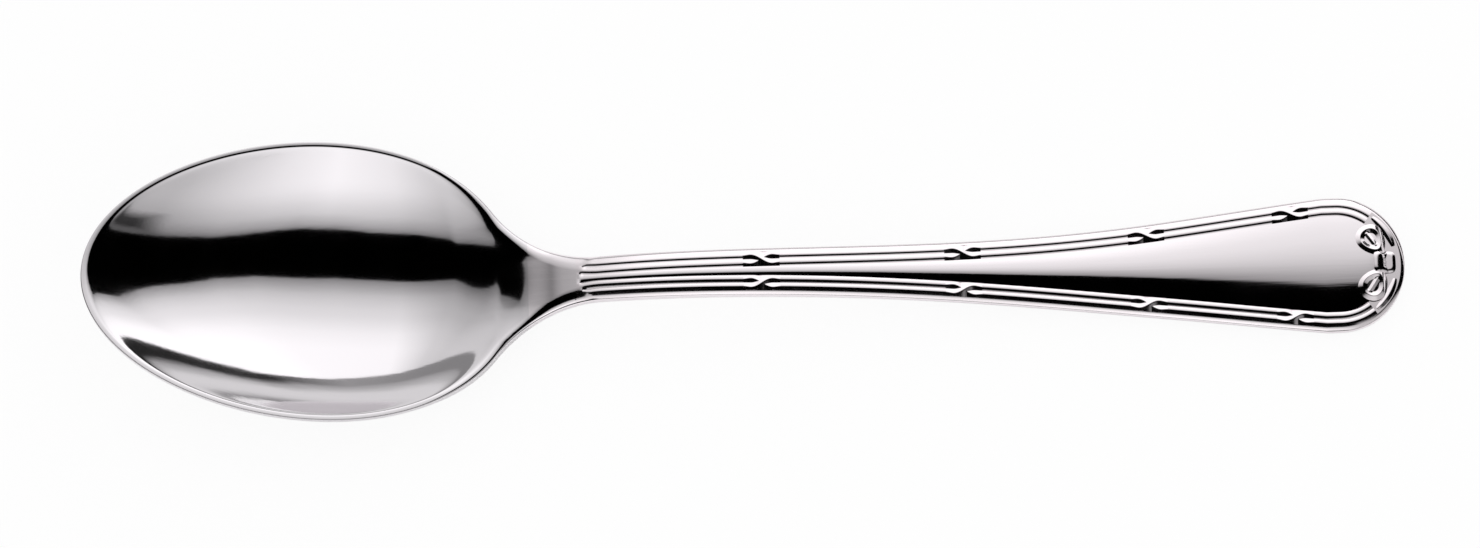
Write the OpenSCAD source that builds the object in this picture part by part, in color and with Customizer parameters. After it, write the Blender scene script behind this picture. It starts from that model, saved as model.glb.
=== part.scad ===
// Teaspoon with a reed-and-ribbon border round a domed handle panel. Units are millimetres.
// X runs from the bowl's tip to the handle's end, Y runs across, and Z is up from the table
// on which the spoon rests, on the back of its bowl and the underside of its handle.

/* [Overall] */
// From the bowl's tip to the handle's end
spoon_len = 140; // [132:1:150]

/* [Bowl] */
// Widest part of the bowl, over the rim
bowl_w = 30.5; // [28:0.2:33]
// From the tip back to the widest part
bowl_front_len = 25.2; // [23.4:0.2:27]
// From the widest part to the rear of the egg-shaped outline
bowl_rear_len = 20.6; // [19.4:0.2:22.6]
// Depth of the hollow under the rim
bowl_depth = 6.3; // [5.4:0.1:7]
// Wall in the middle of the hollow
bowl_wall = 1; // [0.8:0.05:1.3]
// Flat land on top of the rim
rim_land_w = 0.5; // [0.35:0.05:0.7]
// Height of the rim's outer edge
rim_edge_h = 0.9; // [0.7:0.05:1.1]
// Angle at which the rim climbs towards the tip, in degrees
bowl_pitch = 10.5; // [8:0.5:13]
// Depth of the flat worn on the back, on which the bowl stands
rest_flat_h = 0.08; // [0.04:0.02:0.14]

/* [Neck] */
// Width at the narrowest place
neck_w = 4.8; // [4.3:0.1:5.6]
// Thickness at the narrowest place
neck_t = 2.6; // [2.3:0.1:3]
// Height of the arch over the table, on top
crest_h = 6.7; // [5.6:0.1:8]
// From the narrowest place to the top of the arch
crest_reach = 10.5; // [9:0.5:14]
// Height that the arch loses between its top and the narrowest place
neck_drop_h = 0.85; // [0.6:0.05:1.4]
// Angle of the egg-shaped outline at which the shoulders start, in degrees
shoulder_angle = 31.5; // [27:0.5:35]

/* [Handle] */
// Widest part, near the end
handle_w = 14.8; // [13.6:0.2:16.4]
// Thickness under the border's reeds, where the handle lies on the table
handle_t = 2; // [1.8:0.1:2.4]
// Length of the rounded end
end_len = 7.2; // [6.4:0.1:7.6]
// From the widest part's start to the rounded end
parallel_len = 1.4; // [0.6:0.2:2]
// From the arch's foot, where the handle lies flat, to the handle's end
flat_len = 25.7; // [22.7:0.2:29.1]
// Rise of the domed panel over its sides, and the width from which it rises fully
panel_h = 0.47; // [0.35:0.02:0.6]
panel_full_w = 5.8; // [4.8:0.2:6.8]
// Width of the panel where it starts at the neck
panel_start_w = 0.3; // [0.2:0.05:0.4]

/* [Border] */
// Width of the plain rolled edge
edge_w = 0.72; // [0.6:0.02:0.8]
// Drop of the rolled edge, from the reeds' crests to its side
edge_roll_h = 0.6; // [0.5:0.02:0.66]
// Width of the outer reed
outer_reed_w = 0.76; // [0.66:0.02:0.84]
// Width of the inner reed
inner_reed_w = 0.7; // [0.6:0.02:0.78]
// Depth of the grooves beside the reeds
groove_h = 0.22; // [0.16:0.02:0.28]
// Depth at which the border and the panel are seated in the handle's back
seat_h = 0.75; // [0.7:0.01:0.8]

/* [Ribbon ties] */
// Length of each crossing
tie_len = 3.9; // [3.4:0.1:4.4]
// Width of the ribbons
ribbon_w = 0.62; // [0.54:0.02:0.68]
// Height of the ribbons over the grooves
ribbon_h = 0.38; // [0.32:0.02:0.44]

/* [Bow] */
// Width of the knot across the handle, and its length along it
knot_w = 2.2; // [1.8:0.1:2.4]
knot_len = 2.2; // [1.9:0.1:2.4]
// Gap between the knot and the rolled edge
knot_gap = 0.3; // [0.2:0.02:0.36]
// Height of the knot over the panel
knot_h = 0.5; // [0.4:0.02:0.6]
// Gap between each loop's tip and the reeds' ends
loop_gap = 0.6; // [0.5:0.05:0.7]
// Height of the loops and tails over the panel
loop_h = 0.38; // [0.3:0.02:0.46]
// Width of the tails
tail_w = 0.6; // [0.5:0.02:0.66]

/* [Hidden] */

steel = [0.78, 0.77, 0.76];
bright_steel = [0.86, 0.85, 0.84];

// Places along the spoon
tip_x = -spoon_len/2;
handle_end_x = spoon_len/2;
bowl_x = tip_x + bowl_front_len;
egg_end_x = bowl_x + bowl_rear_len;

// Shape of the egg: its half length, and how much its rear is shorter than its front
function egg_mean(inset) = (bowl_front_len + bowl_rear_len)/2 - inset;
egg_skew = (bowl_rear_len - bowl_front_len)/2;

// Shoulder: an arc that leaves the egg square to its outline and ends parallel to the neck
shoulder_start = egg_point(shoulder_angle, 0);
shoulder_normal = egg_normal(shoulder_angle);
shoulder_r = (shoulder_start[1] - neck_w/2)/(1 - shoulder_normal[1]);
shoulder_centre = shoulder_start + shoulder_r*shoulder_normal;
neck_x = shoulder_centre[0];

// Where the bowl's solid meets the neck's, and the neck's meets the handle's
bowl_cut_share = 0.1;
reed_lead_share = 0.3;
bowl_cut_x = mix(egg_end_x, neck_x, bowl_cut_share);
handle_x = mix(neck_x, egg_end_x, reed_lead_share);

crest_x = neck_x + crest_reach;
flat_x = handle_end_x - flat_len;
end_x = handle_end_x - end_len;
widest_x = end_x - parallel_len;
border_w = edge_w + outer_reed_w + inner_reed_w;

// Outline of the handle: a straight taper joined to a swelling
taper_share = 0.134;
swell_power = 1.89;

// Height over which the slope of the rim blends into the rise of the neck
valley_share = 0.16;
valley_blend = bowl_depth*valley_share;

// Softness of the hollow's lip, as a share of its depth, round the rim and towards the neck
lip_soft_share = 0.03;
rear_soft_share = 0.26;
back_soft_share = 0.3;

// Places at which the thickness, the edges and the hollow's lip start or stop changing
back_turn_share = 0.4;
edge_turn_share = 0.45;
lip_turn_share = 0.5;
thin_turn_share = 0.7;

// Rounding of the rim and of the neck's and handle's sides
rim_roll_share = 0.14;
rim_under_share = 0.3;
neck_roll_share = 0.42;
neck_under_share = 0.62;
side_under_share = 0.5;
handle_under_share = 0.36;
roll_limit_share = 0.3;
under_limit_share = 0.7;
seat_clear_share = 0.2;

// How finely the skins are divided
egg_steps = 26;
shoulder_steps = 4;
neck_steps = 4;
run_step = spoon_len/52;
reed_end_steps = 4;
bow_steps = 6;

// How far round the handle's end the reeds reach, and where its middle facet starts
reed_end_angle = 54;
end_cap_angle = 4;

// Length by which a cut passes the faces that it goes through
overrun = 0.5;

// Places of the rings in the bowl's skin, from its spine to the land, and across its edges
hollow_shares = [0, 0.1, 0.26, 0.44, 0.61, 0.77, 0.9, 0.97];
land_shares = [1, 0.25, 0];
rim_under_shares = [0, 0.2, 0.6];
spine_share = 0.5;

// Places of the points on the neck's top and underside, and on a rounded side from the edge inwards
neck_top_shares = [0.35, 0.7];
neck_foot_share = 0.15;
roll_shares = [0, 0.12, 0.35, 0.7, 1];

// Places of the ties along the handle, from the neck to the end
tie_shares = [0.218, 0.491, 0.742, 0.939];

function mix(a, b, share) = a + (b - a)*share;
function eased(t) = let(c = max(0, min(1, t))) c*c*(3 - 2*c);
function ramp(x, from, to) = eased((x - from)/(to - from));
function soft_positive(q, softness) = (q + sqrt(q*q + softness*softness))/2;
function soft_max(a, b, blend) = max(a, b) + pow(max(blend - abs(a - b), 0), 2)/(4*blend);
function rolled(d, r, h) = d >= r ? 0 : h*(1 - sqrt(max(0, 1 - pow(1 - d/r, 2))));

// Egg-shaped outline of the bowl, drawn in by inset
function egg_point(angle, inset) = [
    bowl_x + egg_mean(inset)*cos(angle) + egg_skew*pow(cos(angle), 2),
    (bowl_w/2 - inset)*sin(angle)];
function egg_normal(angle) = let(
    n = [bowl_w/2*cos(angle), egg_mean(0)*sin(angle) + 2*egg_skew*cos(angle)*sin(angle)])
    n/norm(n);
function egg_u(x, inset) = let(m = egg_mean(inset), dx = x - bowl_x)
    2*dx/(m + sqrt(max(0, m*m + 4*egg_skew*dx)));

// One in the middle of the hollow, zero on the outline, negative outside it
function hollow(x, y, inset) = 1 - pow(egg_u(x, inset), 2) - pow(y/(bowl_w/2 - inset), 2);

// Half width of the spoon's outline behind the bowl
function shoulder_y(x) = shoulder_centre[1] - sqrt(pow(shoulder_r, 2) - pow(x - neck_x, 2));
function handle_y(x) = let(t = max(0, min(1, (x - neck_x)/(widest_x - neck_x))))
    mix(neck_w/2, handle_w/2, taper_share*t + (1 - taper_share)*eased(t)*pow(t, swell_power));
function half_w(x) = x < neck_x ? shoulder_y(x) : handle_y(x);

// Side profile: the rim's slope, the arch of the neck and handle, and the soft valley between
function rim_line(x, rim_h) = rim_h - tan(bowl_pitch)*(x - bowl_x);
function arch_line(x) = x < crest_x
    ? crest_h - neck_drop_h*pow((x - crest_x)/crest_reach, 2)
    : mix(crest_h, handle_t, ramp(x, crest_x, flat_x));
function datum(x) = soft_max(rim_line(x, rim_h), arch_line(x), valley_blend);

// Place in the rear half of the bowl
function towards_rear(share) = mix(bowl_x, egg_end_x, share);

// Thickness outside the hollow
function body_t(x) = x < neck_x
    ? mix(rim_edge_h, neck_t, ramp(x, towards_rear(back_turn_share), neck_x))
    : mix(neck_t, handle_t, ramp(x, neck_x, mix(neck_x, flat_x, thin_turn_share)));

// Softness and rounding change from the rim to the neck
function to_neck(x) = ramp(x, towards_rear(edge_turn_share), handle_x);
function lip_softness(x) = mix(lip_soft_share, rear_soft_share,
    ramp(x, towards_rear(lip_turn_share), egg_end_x));
function back_softness(x) = mix(lip_soft_share, back_soft_share,
    ramp(x, towards_rear(back_turn_share), egg_end_x));
function roll_r(x) = mix(rim_edge_h*rim_roll_share, neck_w/2*neck_roll_share, to_neck(x));
function roll_h(x) = mix(rim_edge_h*rim_roll_share, edge_roll_h, to_neck(x));
function under_r(x) = mix(rim_edge_h*rim_under_share, neck_w/2*neck_under_share, to_neck(x));
function under_h(x) = mix(rim_edge_h*rim_under_share, body_t(x)*side_under_share, to_neck(x));

// Drops from the datum to the top and the underside, a distance d inside the outline
function top_drop(x, y, d) = bowl_depth*soft_positive(hollow(x, y, rim_land_w), lip_softness(x))
    + rolled(d, roll_r(x), roll_h(x));
function under_drop(x, y, d) = body_t(x)
    + (bowl_depth + bowl_wall - body_t(x))*soft_positive(hollow(x, y, 0), back_softness(x))
    - rolled(d, under_r(x), under_h(x));

// The bowl is lowered until its back is worn flat by rest_flat_h at the table
bowl_low = min([for (i = [0:egg_steps]) let(x = towards_rear(i/egg_steps))
    rim_line(x, 0) - under_drop(x, 0, bowl_w/2)]);
rim_h = -rest_flat_h - bowl_low;

// Rays of the bowl's skin: each has its foot on the spine, its end on the land's inner edge,
// and its end on the outline
function spine_x(x) = x < bowl_x
    ? mix(bowl_x, x, spine_share)
    : mix(bowl_x, x, spine_share + (1 - spine_share)*pow((x - bowl_x)/(bowl_cut_x - bowl_x), 2));
shoulder_rays = [for (i = [0:shoulder_steps])
    let(x = mix(bowl_cut_x, shoulder_start[0], i/shoulder_steps),
        towards = shoulder_centre - [x, shoulder_y(x)],
        outer = [x, shoulder_y(x)],
        inner = i == 0 ? outer - [0, rim_land_w] : outer - rim_land_w*towards/norm(towards))
    [[spine_x(x), 0], inner, outer]];
egg_rays = [for (i = [1:egg_steps])
    let(angle = mix(shoulder_angle, 180, i/egg_steps), outer = egg_point(angle, 0))
    [[spine_x(outer[0]), 0],
        i == egg_steps ? outer + [rim_land_w, 0] : outer - rim_land_w*egg_normal(angle),
        i == egg_steps ? [tip_x, 0] : outer]];
bowl_rays = concat(shoulder_rays, egg_rays);

// One row of the bowl's skin, from the spine's top over the rim to the spine's underside, which
// is worn flat at the table
function top_point(ray, p) = [p[0], p[1], datum(p[0]) - top_drop(p[0], p[1], norm(ray[2] - p))];
function under_point(ray, p) = [p[0], p[1],
    max(0, datum(p[0]) - under_drop(p[0], p[1], norm(ray[2] - p)))];
function bowl_row(ray) = let(along = [for (s = hollow_shares) mix(ray[0], ray[1], s)])
    concat([for (p = along) top_point(ray, p)],
        [for (s = land_shares) top_point(ray, mix(ray[2], ray[1], s))],
        [for (s = rim_under_shares) under_point(ray, mix(ray[2], ray[1], s))],
        [for (i = [len(along) - 1:-1:0]) under_point(ray, along[i])]);

// Two triangles for four corners
function quad(a, b, c, d) = [[a, b, c], [a, c, d]];

// Closed skin through rows of equal length, each running once round its section
module skin(rows) {
    n = len(rows[0]);
    m = len(rows);
    walls = [for (i = [0:m - 2], j = [0:n - 1])
        each quad(i*n + j, i*n + (j + 1)%n, (i + 1)*n + (j + 1)%n, (i + 1)*n + j)];
    first_cap = [for (j = [0:n/2 - 2]) each quad(n - 1 - j, n - 2 - j, j + 1, j)];
    last = (m - 1)*n;
    last_cap = [for (j = [0:n/2 - 2])
        each quad(last + j, last + j + 1, last + n - 2 - j, last + n - 1 - j)];
    polyhedron([for (row = rows) each row], concat(walls, first_cap, last_cap));
}

function mirrored_y(p) = [p[0], -p[1], p[2]];
function whole_ring(half) = concat(half, [for (i = [len(half) - 1:-1:0]) mirrored_y(half[i])]);

// Bowl: its left and right rows share the points on the spine
module bowl() {
    rows = [for (ray = bowl_rays) bowl_row(ray)];
    m = len(rows);
    n = len(rows[0]);
    left = [for (row = rows) each row];
    right = [for (i = [0:m - 2]) each [for (j = [1:n - 2]) mirrored_y(rows[i][j])]];
    function left_index(i, j) = i*n + j;
    function right_index(i, j) = i == m - 1 || j == 0 || j == n - 1
        ? left_index(i, j) : m*n + i*(n - 2) + j - 1;
    // The diagonals run so that none lies along the spine at the tip
    left_walls = [for (i = [0:m - 2], j = [0:n - 2])
        let(a = left_index(i, j), b = left_index(i + 1, j),
            c = left_index(i + 1, j + 1), d = left_index(i, j + 1))
        each j < n/2 ? quad(b, c, d, a) : quad(a, b, c, d)];
    right_walls = [for (i = [0:m - 2], j = [0:n - 2])
        let(a = right_index(i, j), b = right_index(i + 1, j),
            c = right_index(i + 1, j + 1), d = right_index(i, j + 1))
        each j < n/2 ? quad(d, c, b, a) : quad(a, d, c, b)];
    cut = [for (j = [0:n/2 - 2]) each concat(
        quad(left_index(0, j), left_index(0, j + 1), left_index(0, n - 2 - j), left_index(0, n - 1 - j)),
        quad(right_index(0, n - 1 - j), right_index(0, n - 2 - j), right_index(0, j + 1), right_index(0, j)))];
    color(bright_steel)
    polyhedron(concat(left, right), concat(left_walls, right_walls, cut));
}

// Neck: sections square to the spoon
function neck_half(x) = let(w = half_w(x), foot = w*neck_foot_share)
    concat([for (s = neck_top_shares) [x, w*s, datum(x) - top_drop(x, w*s, w*(1 - s))]],
        [for (i = [len(roll_shares) - 2:-1:0]) let(d = roll_shares[i]*min(roll_r(x), w*roll_limit_share))
            [x, w - d, datum(x) - top_drop(x, w - d, d)]],
        [for (s = roll_shares) let(d = s*min(under_r(x), w*under_limit_share))
            [x, w - d, datum(x) - under_drop(x, w - d, d)]],
        [[x, foot, datum(x) - under_drop(x, foot, w)]]);

module neck() {
    color(steel)
    skin([for (i = [0:neck_steps]) whole_ring(neck_half(mix(bowl_cut_x, handle_x, i/neck_steps)))]);
}

// Stations of the handle: place, half width, and the cosine and sine of the way round the end
tie_x = [for (s = tie_shares) mix(neck_x, end_x, s)];
run_from = concat([handle_x], [for (x = tie_x) x + tie_len/2]);
run_to = concat([for (x = tie_x) x - tie_len/2], [end_x]);
function straight(x) = [x, half_w(x), 0, 1];
function round_end(angle) = [end_x, handle_w/2, cos(angle)/cos(end_cap_angle), sin(angle)];
function run_stations(k) = let(steps = ceil((run_to[k] - run_from[k])/run_step))
    [for (i = [0:steps]) straight(mix(run_from[k], run_to[k], i/steps))];
runs = [for (k = [0:len(tie_x)]) run_stations(k)];

// Round the end, the border's reeds stop at the bow
function swept_end(from, to, steps) = [for (i = [1:steps]) round_end(mix(from, to, i/steps))];
reed_tail = swept_end(90, reed_end_angle, reed_end_steps);
bow_arc = swept_end(reed_end_angle, end_cap_angle, bow_steps);
all_stations = concat([for (run = runs) each run], reed_tail, bow_arc);

// Point at a station, at offset o from the outline; the lanes narrow where the neck is slim
function squeeze(st) = min(1, (st[1] - panel_start_w/2)/border_w);
function lane(st, o) = [st[0] + (end_len - o)*st[2], (st[1] - o*squeeze(st))*st[3]];
function lane_point(st, o, drop) = let(p = lane(st, o)) [p[0], p[1], datum(st[0]) - drop];

// Underside of the handle, rounded at its sides
function handle_under_r(st) = mix(under_r(handle_x), handle_w/2*handle_under_share,
    ramp(st[0], neck_x, widest_x));
function back_half(st) = let(t = body_t(st[0]), r = handle_under_r(st), h = t*side_under_share)
    concat([lane_point(st, 0, seat_h)],
        [for (s = roll_shares) let(o = s*min(r, st[1]*under_limit_share)/squeeze(st))
            lane_point(st, o, t - rolled(s, 1, min(h, t - seat_h - edge_w*seat_clear_share)))]);

module handle_back() {
    color(steel)
    skin([for (st = all_stations) whole_ring(back_half(st))]);
}

// Panel: a dome across the handle, which falls away round its end
panel_shares = [0.25, 0.55, 0.82, 0.96];
end_fall_power = 4;
function panel_w(st) = st[1] - border_w*squeeze(st);
function end_fall(x) = x < end_x ? 0 : pow((x - end_x)/(end_len - border_w), end_fall_power);
panel_power = 6;
function panel_crest(half) = panel_h*half
    /pow(pow(half, panel_power) + pow(panel_full_w/2, panel_power), 1/panel_power);
function panel_rise(x, y, half) = panel_crest(half)*(1 - end_fall(x) - pow(y/half, 2));
function panel_half(st) = let(w = panel_w(st), p = lane(st, border_w), z = datum(st[0]) - groove_h)
    concat([for (s = panel_shares) [p[0], p[1]*s, z + panel_rise(p[0], p[1]*s, w)]],
        [[p[0], p[1], z], [p[0], p[1], datum(st[0]) - seat_h]]);

// Field round the bow: a sunk band between the edge and the panel, from reed end to reed end
function ground_ring(st) = [lane_point(st, border_w, seat_h), lane_point(st, border_w, groove_h),
    lane_point(st, edge_w, groove_h), lane_point(st, edge_w, seat_h)];
function other_side(st) = [st[0], st[1], st[2], -st[3]];
function both_sides(stations) = concat(stations,
    [for (i = [len(stations) - 1:-1:0]) other_side(stations[i])]);

module bow_field() {
    color(steel)
    difference() {
        skin([for (st = both_sides(concat([round_end(reed_end_angle)], bow_arc))) ground_ring(st)]);
        bow_pockets();
    }
}

module handle_panel() {
    color(bright_steel)
    difference() {
        skin([for (st = all_stations) whole_ring(panel_half(st))]);
        bow_pockets();
    }
}

// Rolled edge, in one piece round the end: it slopes outwards from its crown and then rolls over
edge_shares = [1, 0.9, 0.4, 0.22, 0.07, 0];
edge_top_share = 0.9;
edge_crown_share = 0.5;
edge_slope_share = 0.6;
edge_roll_share = 0.4;
function edge_drop(s) = s > edge_top_share
    ? groove_h*mix(edge_crown_share, 1, (s - edge_top_share)/(1 - edge_top_share))
    : groove_h*(edge_crown_share + edge_slope_share*(1 - s/edge_top_share))
        + rolled(s, edge_roll_share, edge_roll_h - groove_h*(edge_crown_share + edge_slope_share));
function edge_ring(st) = concat([lane_point(st, edge_w, seat_h)],
    [for (s = edge_shares) lane_point(st, edge_w*s, edge_drop(s))],
    [lane_point(st, 0, seat_h)]);

module handle_edge() {
    color(steel)
    skin([for (st = both_sides(all_stations)) edge_ring(st)]);
}

// Reeds: round beads between V-shaped grooves
bead_shares = [1, 0.86, 0.66, 0.34, 0.14, 0];
function bead(s) = 1 - pow(2*s - 1, 2);
function reed_ring(st, from, w, rise) = concat([lane_point(st, from + w, seat_h)],
    [for (s = bead_shares) lane_point(st, from + w*s, groove_h*(1 - rise*bead(s)))],
    [lane_point(st, from, seat_h)]);
reed_nose_share = 0.35;
function run_reed(k, from, w) = let(stations = k == len(tie_x) ? concat(runs[k], reed_tail) : runs[k])
    [for (i = [0:len(stations) - 1])
        reed_ring(stations[i], from, w, k == 0 && i == 0 ? reed_nose_share : 1)];

module reeds(from, w) {
    for (side = [0, 1])
        mirror([0, side, 0])
        for (k = [0:len(tie_x)])
            skin(run_reed(k, from, w));
}

module outer_reeds() {
    color(steel) reeds(edge_w, outer_reed_w);
}

module inner_reeds() {
    color(bright_steel) reeds(edge_w + outer_reed_w, inner_reed_w);
}

// Ribbon ties: two ribbons that swap the lanes of the reeds, one over the other
tie_along = 14;
tie_across = 9;
swap_share = 0.6;
bulge_share = 1.2;
under_dip_share = 0.35;
function swap(s) = let(a = abs(s), way = s < 0 ? -1 : 1)
    a < swap_share ? way*bulge_share*sin(90*a/swap_share)
        : way*mix(bulge_share, 1, ramp(a, swap_share, 1));
outer_lane = edge_w + outer_reed_w/2;
inner_lane = edge_w + outer_reed_w + inner_reed_w/2;
function ribbon(o, centre, h) = let(q = (o - centre)/(ribbon_w/2)) h*sqrt(max(0, 1 - q*q));
function tie_rise(s, o) = let(mid = (inner_lane + outer_lane)/2, half = (inner_lane - outer_lane)/2,
    crossing = 1 - ramp(abs(s), 0, swap_share))
    max(ribbon(o, mid + half*swap(s), mix(groove_h, ribbon_h, crossing)),
        ribbon(o, mid - half*swap(s), mix(groove_h, ribbon_h, crossing)*(1 - under_dip_share*crossing)));
function tie_point(a, b, i, j) = let(share = i/tie_along, o = mix(border_w, edge_w, j/tie_across),
    rise = j == 0 || j == tie_across ? 0 : tie_rise(2*share - 1, o))
    mix(lane_point(a, o, groove_h - rise), lane_point(b, o, groove_h - rise), share);

module tie(x) {
    a = straight(x - tie_len/2);
    b = straight(x + tie_len/2);
    skin([for (i = [0:tie_along])
        concat([mix(lane_point(a, border_w, seat_h), lane_point(b, border_w, seat_h), i/tie_along)],
            [for (j = [0:tie_across]) tie_point(a, b, i, j)],
            [mix(lane_point(a, edge_w, seat_h), lane_point(b, edge_w, seat_h), i/tie_along)])]);
}

module ribbon_ties() {
    color(bright_steel)
    for (side = [0, 1])
        mirror([0, side, 0])
        for (x = tie_x)
            tie(x);
}

// Bow: places in the plane, from the middle of the rounded end's widest line
knot_x = handle_end_x - edge_w - knot_gap - knot_len/2;

// Height of the ground under the bow
function ground(x, y) = let(w = handle_w/2 - border_w,
    inside = 1 - end_fall(x) - pow(y/w, 2))
    handle_t - groove_h + max(0, inside)*panel_crest(w);

// Low boss on an outline: each ring has the share by which it is drawn in towards the middle
// and the share of the boss's height at which it lies
module boss(outline, centre, ring_shares, h) {
    n = len(outline);
    m = len(ring_shares);
    function ring_point(p, r) = let(q = mix(p, centre, r[0])) [q[0], q[1], ground(q[0], q[1]) + h*r[1]];
    floor_points = [for (p = outline) [p[0], p[1], handle_t - seat_h]];
    top_points = [for (r = ring_shares) each [for (p = outline) ring_point(p, r)]];
    peak = [centre[0], centre[1], ground(centre[0], centre[1]) + h*ring_shares[m - 1][1]];
    walls = [for (i = [0:m - 1], j = [0:n - 1])
        each quad(i*n + (j + 1)%n, i*n + j, (i + 1)*n + j, (i + 1)*n + (j + 1)%n)];
    top = [for (j = [0:n - 1]) [m*n + (j + 1)%n, m*n + j, (m + 1)*n]];
    polyhedron(concat(floor_points, top_points, [peak]), concat(walls, top, [[for (j = [0:n - 1]) j]]));
}

// Outlines of the bow's pieces
knot_sides = 20;
knot_power = 0.45;
function signed_power(v, p) = (v < 0 ? -1 : 1)*pow(abs(v), p);
knot_outline = [for (i = [0:knot_sides - 1]) let(a = 360*i/knot_sides)
    [knot_x + knot_len/2*signed_power(cos(a), knot_power), knot_w/2*signed_power(sin(a), knot_power)]];
knot_ring_shares = [[0, 0], [0.04, 0.45], [0.16, 0.75], [0.45, 0.96], [0.8, 1]];

loop_sides = 24;
loop_ring_shares = [[0, 0], [0.07, 0.6], [0.2, 1], [0.36, 0.9], [0.5, 0.35], [0.75, 0.2]];
loop_root_share = 0.1;
loop_root_w_share = 0.42;
loop_w_share = 0.66;
loop_foot_share = 0.55;
loop_eye_share = 0.55;
loop_start = [knot_x - knot_len*loop_root_share, knot_w*loop_root_w_share];
loop_tip = lane(round_end(reed_end_angle), border_w + loop_gap);
loop_len = norm(loop_tip - loop_start);
loop_w = loop_len*loop_w_share;
loop_dir = (loop_tip - loop_start)/loop_len;
loop_side = [-loop_dir[1], loop_dir[0]];
loop_outline = [for (i = [0:loop_sides - 1])
    let(a = 360*i/loop_sides, along = (1 - cos(a))/2, across = sin(a)*mix(loop_foot_share, 1, along))
    loop_start + loop_dir*loop_len*along + loop_side*loop_w/2*across];

// Tails: thin curved leaves in the outer reeds' lane
tail_from_angle = 50;
tail_to_angle = 17;
tail_steps = 6;
tail_gap_share = 0.08;
tail_end_share = 0.3;
tail_shares = [1, 0.88, 0.62, 0.38, 0.12, 0];
tail_stations = [for (i = [0:tail_steps]) round_end(mix(tail_from_angle, tail_to_angle, i/tail_steps))];
tail_middle = edge_w + tail_w*(0.5 + tail_gap_share);
function tail_spread(i) = tail_w*mix(tail_end_share, 1, pow(sin(180*i/tail_steps), 0.5));
function tail_o(i, s) = tail_middle + tail_spread(i)*(s - 0.5);
function tail_ring(i) = let(st = tail_stations[i])
    concat([lane_point(st, tail_o(i, 1), seat_h)],
        [for (s = tail_shares) lane_point(st, tail_o(i, s), groove_h - loop_h*bead(s)*tail_lift(i))],
        [lane_point(st, tail_o(i, 0), seat_h)]);
function tail_lift(i) = i == 0 || i == tail_steps ? tail_end_share : 1;
tail_outline = concat([for (i = [0:tail_steps]) lane(tail_stations[i], tail_o(i, 0))],
    [for (i = [tail_steps:-1:0]) lane(tail_stations[i], tail_o(i, 1))]);

module bow_footprint() {
    polygon(knot_outline);
    for (side = [0, 1])
        mirror([0, side]) {
            polygon(loop_outline);
            polygon(tail_outline);
        }
}

module bow_pockets() {
    translate([0, 0, handle_t - seat_h - overrun])
    linear_extrude(height = seat_h + 2*overrun) bow_footprint();
}

module bow_knot() {
    color(bright_steel) boss(knot_outline, [knot_x, 0], knot_ring_shares, knot_h);
}

module bow_loops() {
    color(bright_steel)
    for (side = [0, 1])
        mirror([0, side, 0])
        boss(loop_outline, loop_start + loop_dir*loop_len*loop_eye_share, loop_ring_shares, loop_h);
}

module bow_tails() {
    color(steel)
    for (side = [0, 1])
        mirror([0, side, 0])
        skin([for (i = [0:tail_steps]) tail_ring(i)]);
}

bowl();
neck();
handle_back();
handle_panel();
handle_edge();
outer_reeds();
inner_reeds();
ribbon_ties();
bow_field();
bow_knot();
bow_loops();
bow_tails();
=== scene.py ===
import math

import bpy
import numpy as np
from mathutils import Matrix, Vector


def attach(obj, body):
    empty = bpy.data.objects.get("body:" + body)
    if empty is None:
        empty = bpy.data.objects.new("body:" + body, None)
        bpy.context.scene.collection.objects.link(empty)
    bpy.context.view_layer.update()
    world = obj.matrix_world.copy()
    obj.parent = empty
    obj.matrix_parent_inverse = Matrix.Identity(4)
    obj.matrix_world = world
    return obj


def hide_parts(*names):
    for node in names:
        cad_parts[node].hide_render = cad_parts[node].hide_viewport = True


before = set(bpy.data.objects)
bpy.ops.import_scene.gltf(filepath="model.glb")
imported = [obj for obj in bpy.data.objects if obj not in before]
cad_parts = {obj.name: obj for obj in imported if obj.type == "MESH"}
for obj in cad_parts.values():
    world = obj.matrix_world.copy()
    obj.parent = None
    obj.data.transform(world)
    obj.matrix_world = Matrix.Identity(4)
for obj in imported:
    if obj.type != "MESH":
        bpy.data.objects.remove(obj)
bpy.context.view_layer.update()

# Lengths of the spoon are in millimetres, as in the construction, and become metres in the meshes
MM = 0.001

# Overall and bowl
SPOON_LEN = 140
BOWL_W = 30.5
BOWL_FRONT_LEN = 25.2
BOWL_REAR_LEN = 20.6
BOWL_DEPTH = 6.3
BOWL_WALL = 1
RIM_LAND_W = 0.5
RIM_EDGE_H = 0.9
BOWL_PITCH = math.radians(10.5)
REST_FLAT_H = 0.1

# Neck and handle
NECK_W = 4.8
NECK_T = 2.6
CREST_H = 6.7
CREST_REACH = 10.5
NECK_DROP_H = 0.85
SHOULDER_ANGLE = math.radians(31.5)
HANDLE_W = 14.8
HANDLE_T = 2
END_LEN = 7.2
PARALLEL_LEN = 1.4
FLAT_LEN = 25.7
PANEL_H = 0.47
PANEL_FULL_W = 2.9
PANEL_START_W = 0.3

# Border, ties and bow
EDGE_W = 0.47
EDGE_ROLL_H = 0.62
OUTER_REED_W = 0.8
INNER_REED_W = 0.82
GROOVE_H = 0.22
REED_H = 0.11
REED_SLOPE = 0.28
EDGE_CURVE = 0.5
RIM_CREST_O = 0.88
REED_CREST_O = 1.68
SEAT_H = 0.75
TIE_LEN = 3.9
RIBBON_H = 0.18
RIBBON_SLOPE = 0.29
PIT_H = 0.3
KNOT_W = 2.35
KNOT_LEN = 2.4
KNOT_H = 0.26
KNOT_GAP = 1.02
LOOP_GAP = 0.45
LOOP_H = 0.22
TAIL_W = 0.8

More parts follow.
